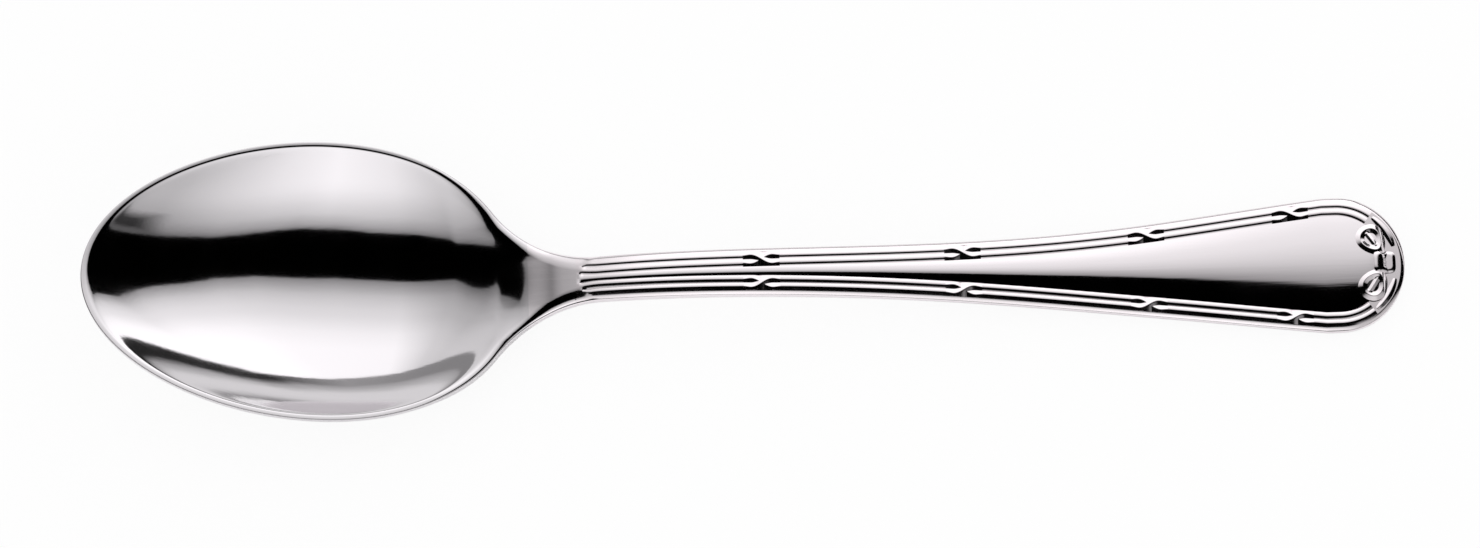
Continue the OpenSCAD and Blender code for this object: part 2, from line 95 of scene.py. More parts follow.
# Shares that shape the outline, the blends and the rolled edges
TAPER_SHARE = 0.134
SWELL_POWER = 1.89
BOWL_CUT_SHARE = 0.1
REED_LEAD_SHARE = 0.3
VALLEY_SHARE = 0.22
LIP_SOFT_SHARE = 0.023
REAR_SOFT_SHARE = 0.26
BACK_SOFT_SHARE = 0.3
BACK_TURN_SHARE = 0.4
EDGE_TURN_SHARE = 0.45
LIP_TURN_SHARE = 0.5
LIP_CRISP_SHARE = 0.45
LIP_CRISP_FROM = 0.5
LIP_CRISP_FULL = 1.3
THIN_TURN_SHARE = 0.7
RIM_ROLL_SHARE = 0.14
RIM_UNDER_SHARE = 0.3
NECK_ROLL_SHARE = 0.7
NECK_UNDER_SHARE = 0.62
SIDE_UNDER_SHARE = 0.5
HANDLE_UNDER_SHARE = 0.36
TIE_SHARES = (0.218, 0.491, 0.742, 0.939)


def mix(a, b, share):
    return a + (b - a)*share


def eased(t):
    c = np.clip(t, 0, 1)
    return c*c*(3 - 2*c)


def ramp(x, start, stop):
    return eased((x - start)/(stop - start))


def soft_positive(q, softness):
    return (q + np.sqrt(q*q + softness*softness))/2


def soft_max(a, b, blend):
    return np.maximum(a, b) + np.maximum(blend - np.abs(a - b), 0)**2/(4*blend)


def rolled(d, radius, height):
    inside = np.clip(1 - d/radius, 0, 1)
    return height*(1 - np.sqrt(1 - inside**2))


def unit(v):
    return v/np.maximum(np.linalg.norm(v, axis=-1, keepdims=True), 1e-12)


def signed_power(v, p):
    return np.sign(v)*np.abs(v)**p


FLIP_Y = np.array([1, -1, 1])


# Places along the spoon
TIP_X = -SPOON_LEN/2
HANDLE_END_X = SPOON_LEN/2
BOWL_X = TIP_X + BOWL_FRONT_LEN
EGG_END_X = BOWL_X + BOWL_REAR_LEN
EGG_SKEW = (BOWL_REAR_LEN - BOWL_FRONT_LEN)/2
BORDER_W = EDGE_W + OUTER_REED_W + INNER_REED_W


def egg_mean(inset):
    return (BOWL_FRONT_LEN + BOWL_REAR_LEN)/2 - inset


def egg_point(angle, inset):
    return np.stack([BOWL_X + egg_mean(inset)*np.cos(angle) + EGG_SKEW*np.cos(angle)**2,
                     (BOWL_W/2 - inset)*np.sin(angle)], -1)


def egg_normal(angle):
    return unit(np.stack([
        BOWL_W/2*np.cos(angle),
        egg_mean(0)*np.sin(angle) + 2*EGG_SKEW*np.cos(angle)*np.sin(angle)], -1))


def egg_u(x, inset):
    m = egg_mean(inset)
    dx = x - BOWL_X
    return 2*dx/(m + np.sqrt(np.maximum(0, m*m + 4*EGG_SKEW*dx)))


def hollow(x, y, inset):
    return 1 - egg_u(x, inset)**2 - (y/(BOWL_W/2 - inset))**2


# Shoulder: an arc that leaves the egg square to its outline and ends parallel to the neck
SHOULDER_START = egg_point(SHOULDER_ANGLE, 0)
SHOULDER_NORMAL = egg_normal(SHOULDER_ANGLE)
SHOULDER_R = (SHOULDER_START[1] - NECK_W/2)/(1 - SHOULDER_NORMAL[1])
SHOULDER_CENTRE = SHOULDER_START + SHOULDER_R*SHOULDER_NORMAL
NECK_X = SHOULDER_CENTRE[0]
BOWL_CUT_X = mix(EGG_END_X, NECK_X, BOWL_CUT_SHARE)
HANDLE_X = mix(NECK_X, EGG_END_X, REED_LEAD_SHARE)
CREST_X = NECK_X + CREST_REACH
FLAT_X = HANDLE_END_X - FLAT_LEN
END_X = HANDLE_END_X - END_LEN
WIDEST_X = END_X - PARALLEL_LEN


def shoulder_y(x):
    return SHOULDER_CENTRE[1] - np.sqrt(np.maximum(0, SHOULDER_R**2 - (x - NECK_X)**2))


def handle_y(x):
    t = np.clip((x - NECK_X)/(WIDEST_X - NECK_X), 0, 1)
    swell = TAPER_SHARE*t + (1 - TAPER_SHARE)*eased(t)*t**SWELL_POWER
    return mix(NECK_W/2, HANDLE_W/2, swell)


def half_w(x):
    return np.where(x < NECK_X, shoulder_y(x), handle_y(x))


# Side profile and sections
def towards_rear(share):
    return mix(BOWL_X, EGG_END_X, share)


def rim_line(x, rim_h):
    return rim_h - math.tan(BOWL_PITCH)*(x - BOWL_X)


def arch_line(x):
    rise = CREST_H - NECK_DROP_H*((x - CREST_X)/CREST_REACH)**2
    return np.where(x < CREST_X, rise, mix(CREST_H, HANDLE_T, ramp(x, CREST_X, FLAT_X)))


def body_t(x):
    to_shank = mix(RIM_EDGE_H, NECK_T, ramp(x, towards_rear(BACK_TURN_SHARE), NECK_X))
    to_end = mix(NECK_T, HANDLE_T, ramp(x, NECK_X, mix(NECK_X, FLAT_X, THIN_TURN_SHARE)))
    return np.where(x < NECK_X, to_shank, to_end)


def to_neck(x):
    return ramp(x, towards_rear(EDGE_TURN_SHARE), HANDLE_X)


def roll_r(x):
    return mix(RIM_EDGE_H*RIM_ROLL_SHARE, NECK_W/2*NECK_ROLL_SHARE, to_neck(x))


def roll_h(x):
    return mix(RIM_EDGE_H*RIM_ROLL_SHARE, EDGE_ROLL_H, to_neck(x))


def under_r(x):
    return mix(RIM_EDGE_H*RIM_UNDER_SHARE, NECK_W/2*NECK_UNDER_SHARE, to_neck(x))


def under_h(x):
    return mix(RIM_EDGE_H*RIM_UNDER_SHARE, body_t(x)*SIDE_UNDER_SHARE, to_neck(x))


def top_drop(x, y, d):
    beside = ramp(np.abs(y), NECK_W*LIP_CRISP_FROM, NECK_W*LIP_CRISP_FULL)
    turn = ramp(x, towards_rear(LIP_TURN_SHARE), EGG_END_X)*(1 - LIP_CRISP_SHARE*beside)
    softness = mix(LIP_SOFT_SHARE, REAR_SOFT_SHARE, turn)
    deep = BOWL_DEPTH*soft_positive(hollow(x, y, RIM_LAND_W), softness)
    return deep + rolled(d, roll_r(x), roll_h(x))


def under_drop(x, y, d):
    turn = ramp(x, towards_rear(BACK_TURN_SHARE), EGG_END_X)
    softness = mix(LIP_SOFT_SHARE, BACK_SOFT_SHARE, turn)
    deep = (BOWL_DEPTH + BOWL_WALL - body_t(x))*soft_positive(hollow(x, y, 0), softness)
    return body_t(x) + deep - rolled(d, under_r(x), under_h(x))


SPINE = np.linspace(BOWL_X, EGG_END_X, 27)
RIM_H = -REST_FLAT_H - np.min(rim_line(SPINE, 0) - under_drop(SPINE, 0, BOWL_W/2))


def datum(x):
    return soft_max(rim_line(x, RIM_H), arch_line(x), BOWL_DEPTH*VALLEY_SHARE)


# Closed solids: grids of points with their own normals, and flat caps and walls
class Solid:
    def __init__(self):
        self.points = np.zeros((0, 3))
        self.faces = []
        self.normals = []

    def grid(self, points):
        rows, columns = points.shape[:2]
        index = np.arange(rows*columns).reshape(rows, columns) + len(self.points)
        self.points = np.concatenate([self.points, points.reshape(-1, 3)])
        return index

    def skin(self, index, normals=None):
        def corners(a):
            four = np.stack([a[:-1, :-1], a[1:, :-1], a[1:, 1:], a[:-1, 1:]], 2)
            return four.reshape((-1, 4) + a.shape[2:])
        quads = corners(index)
        self.faces.extend(quads.tolist())
        self.normals.extend([None]*len(quads) if normals is None else list(corners(normals)))

    def cap(self, loop):
        self.faces.append(list(loop))
        self.normals.append(None)

    def closed(self):
        """Points, faces turned outwards, and one normal for each corner of each face."""
        p = self.points
        flat = []
        volume = 0
        for f in self.faces:
            c = p[f]
            n = np.cross(c - c[0], np.roll(c, -1, 0) - c[0]).sum(0)
            volume += np.dot(c.mean(0) - p[0], n)
            flat.append(n/max(np.linalg.norm(n), 1e-12))
        turn = volume < 0
        faces = []
        corners = []
        for f, n, own in zip(self.faces, flat, self.normals):
            n = -n if turn else n
            if own is None:
                own = np.repeat(n[None], len(f), 0)
            else:
                own = own*np.where((own @ n) < 0, -1, 1)[:, None]
            faces.append(f[::-1] if turn else f)
            corners.append(own[::-1] if turn else own)
        return p, faces, corners


def mirrored(solid):
    twin = Solid()
    twin.points = solid.points*FLIP_Y
    twin.faces = solid.faces
    twin.normals = [None if n is None else n*FLIP_Y for n in solid.normals]
    return twin


def grid_normals(points):
    """Normals of a grid of points, from its differences along both ways."""
    return unit(np.cross(np.gradient(points, axis=0), np.gradient(points, axis=1)))


def ring_solid(rows, last):
    """Closed solid through rings, with one spare ring before the first and after the last. Its
    columns up to the one numbered last are one smooth skin, and the others are flat walls."""
    solid = Solid()
    index = solid.grid(rows[1:-1])
    solid.skin(index[:, :last + 1], grid_normals(rows[:, :last + 1])[1:-1])
    count = rows.shape[1]
    for j in range(last, count):
        solid.skin(index[:, [j, (j + 1) % count]])
    solid.cap(index[0])
    solid.cap(index[-1][::-1])
    return solid


def make_piece(name, node_name, material, solids):
    points = []
    faces = []
    corners = []
    start = 0
    for solid in solids:
        p, f, c = solid.closed()
        points.append(p)
        faces.extend([[v + start for v in face] for face in f])
        corners.extend(c)
        start += len(p)
    mesh = bpy.data.meshes.new(name)
    mesh.from_pydata((np.concatenate(points)*MM).tolist(), [], faces)
    mesh.polygons.foreach_set("use_smooth", [True]*len(faces))
    mesh.normals_split_custom_set(np.concatenate(corners).tolist())
    mesh.materials.append(material)
    piece = bpy.data.objects.new(name, mesh)
    bpy.context.collection.objects.link(piece)
    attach(piece, "root")
    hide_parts(node_name)


# Materials
SCRATCH_DEPTH = 0.00002
DULL_FACTOR = 1.8


def node(tree, kind, **inputs):
    n = tree.nodes.new(kind)
    for key, value in inputs.items():
        n.inputs[key].default_value = value
    return n


def polished_steel(name, level, green, blue, grain, grain_depth, roughness):
    """Mirror-polished steel with a fine grain and the hair scratches of handling."""
    material = bpy.data.materials.new(name)
    material.use_nodes = True
    tree = material.node_tree
    link = tree.links.new
    shader = tree.nodes["Principled BSDF"]
    shader.inputs["Base Color"].default_value = (level, level*green, level*blue, 1)
    shader.inputs["Metallic"].default_value = 1
    place = tree.nodes.new("ShaderNodeTexCoord")
    stretch = node(tree, "ShaderNodeMapping", Scale=grain)
    lines = node(tree, "ShaderNodeTexNoise", Scale=1000, Detail=3, Roughness=0.6)
    cloud = node(tree, "ShaderNodeTexNoise", Scale=160, Detail=4, Roughness=0.55)
    link(place.outputs["Object"], stretch.inputs["Vector"])
    link(stretch.outputs["Vector"], lines.inputs["Vector"])
    link(place.outputs["Object"], cloud.inputs["Vector"])
    spread = node(tree, "ShaderNodeMapRange", **{
        "From Min": 0.3, "From Max": 0.7, "To Min": roughness, "To Max": roughness*DULL_FACTOR})
    link(cloud.outputs["Fac"], spread.inputs["Value"])
    link(spread.outputs["Result"], shader.inputs["Roughness"])
    bump = node(tree, "ShaderNodeBump", Strength=grain_depth, Distance=SCRATCH_DEPTH)
    link(lines.outputs["Fac"], bump.inputs["Height"])
    link(bump.outputs["Normal"], shader.inputs["Normal"])
    return material


BOWL_STEEL = polished_steel("bowl_steel", 0.86, 0.965, 0.995, (0.25, 1, 1), 0.12, 0.04)
HANDLE_STEEL = polished_steel("handle_steel", 0.98, 0.945, 0.975, (0.06, 1.6, 1), 0.16, 0.045)
RELIEF_STEEL = polished_steel("relief_steel", 0.98, 0.935, 0.965, (0.2, 1, 1), 0.12, 0.07)


# Bowl and neck: rays from the spine over the rim and back under
HOLLOW_SAMPLES = 1 - (1 - np.linspace(0, 1, 66))**1.5
ROLL_SAMPLES = 1 - np.cos(np.linspace(0, math.pi/2, 9))
LAND_SAMPLES = np.array([[0.4, 0.8]])
SPINE_SHARE = 0.5
SHOULDER_RAYS = 40
EGG_RAYS = 150
NECK_RINGS = 24


def ray_rows(foot, inner, outer):
    """Top and underside points of rays, each from its foot over its inner to its outer point."""
    width = np.linalg.norm(outer - inner, axis=-1)[:, None]

    def edge_shares(radius):
        bend = np.minimum(radius[:, None], width)
        rolled_part = ROLL_SAMPLES[None]*bend/width
        flat_part = mix(bend/width, 1, LAND_SAMPLES)
        return np.concatenate([rolled_part, flat_part], 1)

    def layer(shares_d, drop):
        d_share = shares_d[..., None]
        land = outer[:, None]*(1 - d_share) + inner[:, None]*d_share
        deep_share = HOLLOW_SAMPLES[None, :, None]
        deep = foot[:, None]*(1 - deep_share) + inner[:, None]*deep_share
        p = np.concatenate([deep, land[:, ::-1]], 1)
        d = np.linalg.norm(outer[:, None] - p, axis=-1)
        z = datum(p[..., 0]) - drop(p[..., 0], p[..., 1], d)
        return np.concatenate([p, z[..., None]], -1)

    top = layer(edge_shares(roll_r(outer[:, 0])), top_drop)
    under = layer(edge_shares(under_r(outer[:, 0])), under_drop)
    under[..., 2] = np.maximum(under[..., 2], 0)
    return np.concatenate([top, under[:, ::-1]], 1)


def flat_2d(x, y):
    return np.stack([x, np.broadcast_to(y, x.shape)], -1)


def spine_x(x):
    rear = np.clip((x - BOWL_X)/(BOWL_CUT_X - BOWL_X), 0, None)
    share = np.where(x < BOWL_X, SPINE_SHARE, SPINE_SHARE + (1 - SPINE_SHARE)*rear**2)
    return mix(BOWL_X, x, share)


def make_bowl():
    step = (SHOULDER_START[0] - BOWL_CUT_X)/SHOULDER_RAYS
    x = BOWL_CUT_X + step*np.arange(-1, SHOULDER_RAYS)
    outer = flat_2d(x, shoulder_y(x))
    lean = ramp(x, BOWL_CUT_X, SHOULDER_START[0])[:, None]
    aim = unit(SHOULDER_CENTRE - outer)*lean + np.array([[0, 1]])*(1 - lean)
    shoulder_inner = outer - RIM_LAND_W*unit(aim)
    angle = np.linspace(SHOULDER_ANGLE, math.pi, EGG_RAYS + 1)
    egg_outer = egg_point(angle, 0)
    egg_inner = egg_outer - RIM_LAND_W*egg_normal(angle)
    outer = np.concatenate([outer, egg_outer])
    inner = np.concatenate([shoulder_inner, egg_inner])
    half = ray_rows(flat_2d(spine_x(outer[:, 0]), 0.0), inner, outer)
    rows = np.concatenate([half, half[:-1][::-1]*FLIP_Y])
    wrapped = np.concatenate([rows[:, 1:2]*FLIP_Y, rows, rows[:, -2:-1]*FLIP_Y], 1)
    normals = grid_normals(wrapped)[1:-1, 1:-1]
    solid = Solid()
    index = solid.grid(rows[1:-1])
    # Rays of both sides share the points on the spine
    for column in (0, -1):
        normals[:, column, 1] = 0
        normals[:, column] = unit(normals[:, column])
        index[:, column] = np.minimum(index[:, column], index[::-1, column])
    solid.skin(index, normals)
    solid.cap(list(index[0]) + list(index[-1][::-1][1:-1]))
    make_piece("bowl_shell", "bowl", BOWL_STEEL, [solid])


def neck_ring(x):
    w = half_w(x)
    half = ray_rows(flat_2d(x, 0.0), flat_2d(x, w - RIM_LAND_W), flat_2d(x, w))
    return np.concatenate([half, half[:, 1:-1][:, ::-1]*FLIP_Y], 1)


def make_neck():
    step = (HANDLE_X - BOWL_CUT_X)/NECK_RINGS
    rows = neck_ring(BOWL_CUT_X + step*np.arange(-1, NECK_RINGS + 2))
    wrapped = np.concatenate([rows[:, -1:], rows, rows[:, :2]], 1)
    normals = grid_normals(wrapped)[1:-1, 1:-1]
    solid = Solid()
    index = solid.grid(rows[1:-1])
    solid.skin(np.concatenate([index, index[:, :1]], 1), normals)
    solid.cap(index[0])
    solid.cap(index[-1][::-1])
    make_piece("neck_shank", "neck", HANDLE_STEEL, [solid])


# Handle: stations along it and round its end, each with place, half width, cosine and sine
def straight(x):
    return np.stack([x, half_w(x), np.zeros_like(x), np.ones_like(x)], -1)


def round_end(angle):
    x = np.full_like(angle, END_X)
    half = np.full_like(angle, HANDLE_W/2)
    return np.stack([x, half, np.cos(angle), np.sin(angle)], -1)


def other_side(stations):
    return stations[::-1]*np.array([1, 1, 1, -1])


def squeeze(stations):
    return np.minimum(1, (stations[:, 1] - PANEL_START_W/2)/BORDER_W)


def lane(stations, offsets):
    """Plan places of offsets from the outline, given as one row for each station or one for all."""
    o = np.broadcast_to(offsets, (len(stations), np.shape(offsets)[-1]))
    x = stations[:, 0:1] + (END_LEN - o)*stations[:, 2:3]
    y = (stations[:, 1:2] - o*squeeze(stations)[:, None])*stations[:, 3:4]
    return x, y, o


CHEVRON_START = 0.1
CHEVRON_LEN = 0.9
FADE_LEN = 0.35
SIDE_FADE_GAIN = 4
SIDE_FADE_POWER = 4


def struck(x, y, drop, stations_x):
    """Height of the relief, which fades in from the plain neck behind a chevron."""
    plain = top_drop(x, y, np.maximum(half_w(x) - np.abs(y), 0))
    side = np.abs(y)/(NECK_W/2)
    start = HANDLE_X + CHEVRON_START + CHEVRON_LEN*side
    fade = ramp(x, start, start + FADE_LEN*(1 + SIDE_FADE_GAIN*side**SIDE_FADE_POWER))
    return datum(stations_x) - mix(plain, drop, fade)


def on_walls(stations, top):
    """Closed strip under rows of top points, on side walls down to its seat."""
    low = top[:, [-1, 0]].copy()
    low[..., 2] = datum(stations[:, 0:1]) - SEAT_H
    return ring_solid(np.concatenate([top, low], 1), top.shape[1] - 1)


def band(stations, offsets, drop_of):
    """Strip of relief between two offsets from the outline."""
    x, y, o = lane(stations, offsets)
    z = struck(x, y, drop_of(x, o), stations[:, 0:1])
    return on_walls(stations, np.stack([x, y, z], -1))


def spaced(start, stop, step):
    """Evenly spaced places from start to stop, with a spare one at each end."""
    count = max(2, int(math.ceil(abs(stop - start)/step)))
    h = (stop - start)/count
    return start + h*np.arange(-1, count + 2)


TIE_X = [mix(NECK_X, END_X, s) for s in TIE_SHARES]
RUN_FROM = [HANDLE_X] + [x + TIE_LEN/2 for x in TIE_X]
RUN_TO = [x - TIE_LEN/2 for x in TIE_X] + [END_X]
REED_END_ANGLE = math.radians(54)
STATION_STEP = 0.3
END_STEP = math.radians(1.5)
EDGE_ROLL_SHARE = 0.16
EDGE_SAMPLES = 14
REED_SAMPLES = 33
CREST_R = 0.03
RIM_POWERS = (1.2, 2.3)
REED_POWERS = (1.6, 2.2)


def along(start, stop):
    return straight(spaced(start, stop, STATION_STEP))


def with_end(start, last_angle):
    x = spaced(start, END_X, STATION_STEP)[:-1]
    count = int(round((math.pi/2 - last_angle)/END_STEP))
    h = (math.pi/2 - last_angle)/count
    return np.concatenate([straight(x), round_end(math.pi/2 - h*np.arange(1, count + 2))])


def crested(distance, slope):
    """Fall from a crest along straight flanks, with the crest slightly rounded."""
    return slope*(np.sqrt(distance**2 + CREST_R**2) - CREST_R)


def reed_fall(o, start, crest, stop, powers):
    """Drop of one reed, which rises from a groove to its crest and falls to the next groove."""
    outer = REED_H*(np.maximum(0, crest - o)/(crest - start))**powers[0]
    inner = REED_H*(np.maximum(0, o - crest)/(stop - crest))**powers[1]
    return GROOVE_H - REED_H + outer + inner


def rim_drop(o):
    return reed_fall(o, EDGE_W, RIM_CREST_O, EDGE_W + OUTER_REED_W, RIM_POWERS)


def reed_drop(o):
    return reed_fall(o, EDGE_W + OUTER_REED_W, REED_CREST_O, BORDER_W, REED_POWERS)


EDGE_FOOT_H = rim_drop(0.0) + EDGE_CURVE*EDGE_W**2


def edge_drop(x, o):
    fall = rim_drop(o) + EDGE_CURVE*np.maximum(0, EDGE_W - o)**2
    return fall + rolled(o/EDGE_W, EDGE_ROLL_SHARE, EDGE_ROLL_H - EDGE_FOOT_H)


def make_edge():
    one = with_end(HANDLE_X, 0.0)[:-1]
    stations = np.concatenate([one, other_side(one)[1:]])
    shares = np.concatenate([np.linspace(1, EDGE_ROLL_SHARE, EDGE_SAMPLES),
                             EDGE_ROLL_SHARE*ROLL_SAMPLES[-2::-1]])
    solid = band(stations, EDGE_W*shares, edge_drop)
    make_piece("handle_rolled_edge", "handle_edge", RELIEF_STEEL, [solid])


def make_reeds(name, node_name, start, width, drop):
    offsets = start + width*np.linspace(0, 1, REED_SAMPLES)
    solids = []
    for k, (a, b) in enumerate(zip(RUN_FROM, RUN_TO)):
        last = k == len(RUN_FROM) - 1
        stations = with_end(a, REED_END_ANGLE) if last else along(a, b)
        solid = band(stations, offsets, lambda x, o: drop(o))
        solids += [solid, mirrored(solid)]
    make_piece(name, node_name, RELIEF_STEEL, solids)


# Ties: two ribbons that swap the lanes of the reeds
SWAP_SHARE = 0.6
BULGE_SHARE = 1.2
UNDER_DIP_SHARE = 0.35
PIT_FADE_FROM = 0.85
TIE_RINGS = 72
TIE_SAMPLES = 49


def swap(s):
    a = np.abs(s)
    inner = np.sign(s)*BULGE_SHARE*np.sin(np.pi/2*np.minimum(a/SWAP_SHARE, 1))
    outer = np.sign(s)*mix(BULGE_SHARE, 1, ramp(a, SWAP_SHARE, 1))
    return np.where(a < SWAP_SHARE, inner, outer)


def tie_rise(s, o):
    middle = (REED_CREST_O + RIM_CREST_O)/2
    reach = (REED_CREST_O - RIM_CREST_O)/2*swap(s)
    crossing = 1 - ramp(np.abs(s), 0, SWAP_SHARE)
    free = 1 - ramp(np.abs(s), PIT_FADE_FROM, 1)
    slope = mix(REED_SLOPE, RIBBON_SLOPE, free)
    over = mix(REED_H, RIBBON_H, crossing) - crested(o - middle - reach, slope)
    under = REED_H*(1 - UNDER_DIP_SHARE*crossing) - crested(o - middle + reach, slope)
    return np.maximum(-PIT_H*free, np.maximum(over, under))


def make_ties():
    offsets = np.linspace(EDGE_W, BORDER_W, TIE_SAMPLES)
    solids = []
    for middle in TIE_X:
        stations = straight(spaced(middle - TIE_LEN/2, middle + TIE_LEN/2, TIE_LEN/TIE_RINGS))
        solid = band(stations, offsets,
                     lambda x, o: GROOVE_H - tie_rise((x - middle)/(TIE_LEN/2), o))
        solids += [solid, mirrored(solid)]
    make_piece("ribbon_crossings", "ribbon_ties", RELIEF_STEEL, solids)


# Panel: a dome across the handle, which falls away at its end
END_FALL_POWER = 12
LEVEL_POWER = 6
PANEL_SAMPLES = 61
CAP_ANGLE = math.radians(1.5)


def end_fall(x):
    return np.where(x < END_X, 0, ((x - END_X)/(END_LEN - BORDER_W))**END_FALL_POWER)


def panel_h(w):
    return PANEL_H*w/(w**LEVEL_POWER + PANEL_FULL_W**LEVEL_POWER)**(1/LEVEL_POWER)


def panel_drop(x, y, w):
    return GROOVE_H - panel_h(w)*(1 - end_fall(x) - (y/w)**2)


def make_panel():
    stations = with_end(HANDLE_X, CAP_ANGLE)
    side_x, side_y, _ = lane(stations, np.array([BORDER_W]))
    t = np.sin(np.linspace(-math.pi/2, math.pi/2, PANEL_SAMPLES))
    x = np.repeat(side_x, len(t), 1)
    y = side_y*t[None]
    w = (stations[:, 1] - BORDER_W*squeeze(stations))[:, None]
    z = struck(x, y, panel_drop(x, y, w), stations[:, 0:1])
    solid = on_walls(stations, np.stack([x, y, z], -1))
    make_piece("domed_panel", "handle_panel", HANDLE_STEEL, [solid])


# Back of the handle: smooth, rounded at its sides
BACK_ROLL_LIMIT = 0.7
BACK_FLAT_SAMPLE = 1.15
BACK_CLEAR_SHARE = 0.2


def make_back():
    stations = with_end(HANDLE_X, CAP_ANGLE)
    t = body_t(stations[:, 0])[:, None]
    full_r = HANDLE_W/2*HANDLE_UNDER_SHARE
    r = mix(under_r(HANDLE_X), full_r, ramp(stations[:, 0], NECK_X, WIDEST_X))
    roll = (np.minimum(r, stations[:, 1]*BACK_ROLL_LIMIT)/squeeze(stations))[:, None]
    s = np.concatenate([ROLL_SAMPLES, [BACK_FLAT_SAMPLE]])[None]
    x, y, o = lane(stations, roll*s)
    h = np.minimum(t*SIDE_UNDER_SHARE, t - SEAT_H - EDGE_W*BACK_CLEAR_SHARE)
    z = datum(stations[:, 0:1]) - (t - rolled(np.broadcast_to(s, o.shape), 1, h))
    under = np.stack([x, y, z], -1)
    seat = under[:, 0:1].copy()
    seat[..., 2] = datum(stations[:, 0:1]) - SEAT_H
    half = np.concatenate([seat, under], 1)
    rows = np.concatenate([half, half[:, ::-1]*FLIP_Y], 1)
    solid = ring_solid(rows, rows.shape[1] - 1)
    make_piece("handle_underside", "handle_back", HANDLE_STEEL, [solid])


# Bow: a sunk field, a knot, two loops and two tails
BOW_W = HANDLE_W/2 - BORDER_W
KNOT_X = HANDLE_END_X - KNOT_GAP - KNOT_LEN/2
KNOT_CORNER_POWER = 0.45
KNOT_BEVEL_SHARE = 0.34
BOSS_STOP_SHARE = 0.98
LOOP_NARROW_SHARE = 0.62
LOOP_W_SHARE = 1.02
LOOP_MIDDLE_SHARE = 0.55
LOOP_CREST_SHARE = 0.3
LOOP_FOOT_RISE = 0.25
LOOP_FLOOR_RISE = 0.05
FOLD_RISE = 0.55
FOLD_HALF_W = 0.3
TAIL_H = 0.16
TAIL_MIDDLE_SHARE = 0.58
TAIL_POINT_SHARE = 0.3
TAIL_BLUNT_SHARE = 0.02
TAIL_LIFT_POWER = 0.35
TAIL_FROM_TO = (51, 16)


def ground(x, y):
    inside = np.maximum(0, 1 - end_fall(x) - (y/BOW_W)**2)
    return HANDLE_T - GROOVE_H + inside*panel_h(BOW_W)


def end_arc(start, stop, count):
    """Stations round the end from angle to angle, with a spare one at each side."""
    angle = np.linspace(start, stop, count)
    h = angle[1] - angle[0]
    return round_end(np.concatenate([[angle[0] - h], angle, [angle[-1] + h]]))


def make_field():
    stations = end_arc(REED_END_ANGLE, -REED_END_ANGLE, 75)
    solid = band(stations, np.linspace(EDGE_W, BORDER_W, 9), lambda x, o: GROOVE_H + 0*o)
    make_piece("bow_ground", "bow_field", RELIEF_STEEL, [solid])


def boss(outline, centre, shares, rises, height):
    """Low boss on an outline, drawn in towards its middle by shares and raised by rises."""
    p = outline[:, None]*(1 - shares[None, :, None]) + centre*shares[None, :, None]
    z = ground(p[..., 0], p[..., 1]) + height*rises
    top = np.concatenate([p, z[..., None]], -1)
    low = np.concatenate([outline, np.full((len(outline), 1), HANDLE_T - SEAT_H)], 1)
    wrapped = np.concatenate([top[-1:], top, top[:1]])
    normals = grid_normals(wrapped)[1:-1]
    solid = Solid()
    index = solid.grid(top)
    low_index = solid.grid(low[:, None])
    around = np.concatenate([index, index[:1]])
    low_around = np.concatenate([low_index, low_index[:1]])
    solid.skin(around, np.concatenate([normals, normals[:1]]))
    solid.skin(np.concatenate([low_around, around[:, :1]], 1))
    solid.cap(low_index[::-1, 0])
    solid.cap(index[:, -1])
    return solid


def make_knot():
    a = np.linspace(0, 2*math.pi, 97)[:-1]
    outline = np.stack([KNOT_X + KNOT_LEN/2*signed_power(np.cos(a), KNOT_CORNER_POWER),
                        KNOT_W/2*signed_power(np.sin(a), KNOT_CORNER_POWER)], -1)
    s = np.linspace(0, BOSS_STOP_SHARE, 30)
    rises = 0.5 + 0.5*np.sin(np.pi/2*np.minimum(1, s/KNOT_BEVEL_SHARE))
    solid = boss(outline, np.array([KNOT_X, 0]), s, rises, KNOT_H)
    make_piece("knot", "bow_knot", RELIEF_STEEL, [solid])


def make_loops():
    a = np.linspace(0, 2*math.pi, 121)[:-1]
    forward = (1 - np.cos(a))/2
    sideways = np.sin(a)*mix(LOOP_NARROW_SHARE, 1, forward)
    start = np.array([KNOT_X - KNOT_LEN*0.1, KNOT_W*0.4])
    tip_x, tip_y, _ = lane(round_end(np.array([REED_END_ANGLE])), np.array([BORDER_W + LOOP_GAP]))
    tip = np.array([tip_x[0, 0], tip_y[0, 0]])
    length = np.linalg.norm(tip - start)
    direction = (tip - start)/length
    side = np.array([-direction[1], direction[0]])
    half = length*LOOP_W_SHARE/2
    outline = start + direction*length*forward[:, None] + side*half*sideways[:, None]
    centre = start + direction*length*LOOP_MIDDLE_SHARE
    s = np.linspace(0, BOSS_STOP_SHARE, 48)
    # A raised ribbon follows the outline, and a fold lies along the loop's middle
    crest = 1 - crested((s - LOOP_CREST_SHARE)/LOOP_CREST_SHARE, 1)
    ribbon = np.where(s < LOOP_CREST_SHARE, mix(LOOP_FOOT_RISE, 1, crest),
                      np.maximum(LOOP_FLOOR_RISE, crest))
    across = np.abs((outline - centre) @ side)[:, None]*(1 - s)
    fold = FOLD_RISE*np.maximum(0, 1 - across/FOLD_HALF_W)*ramp(s, 0.45, 0.6)
    solid = boss(outline, centre, s, ribbon + fold, LOOP_H)
    make_piece("loops", "bow_loops", RELIEF_STEEL, [solid, mirrored(solid)])


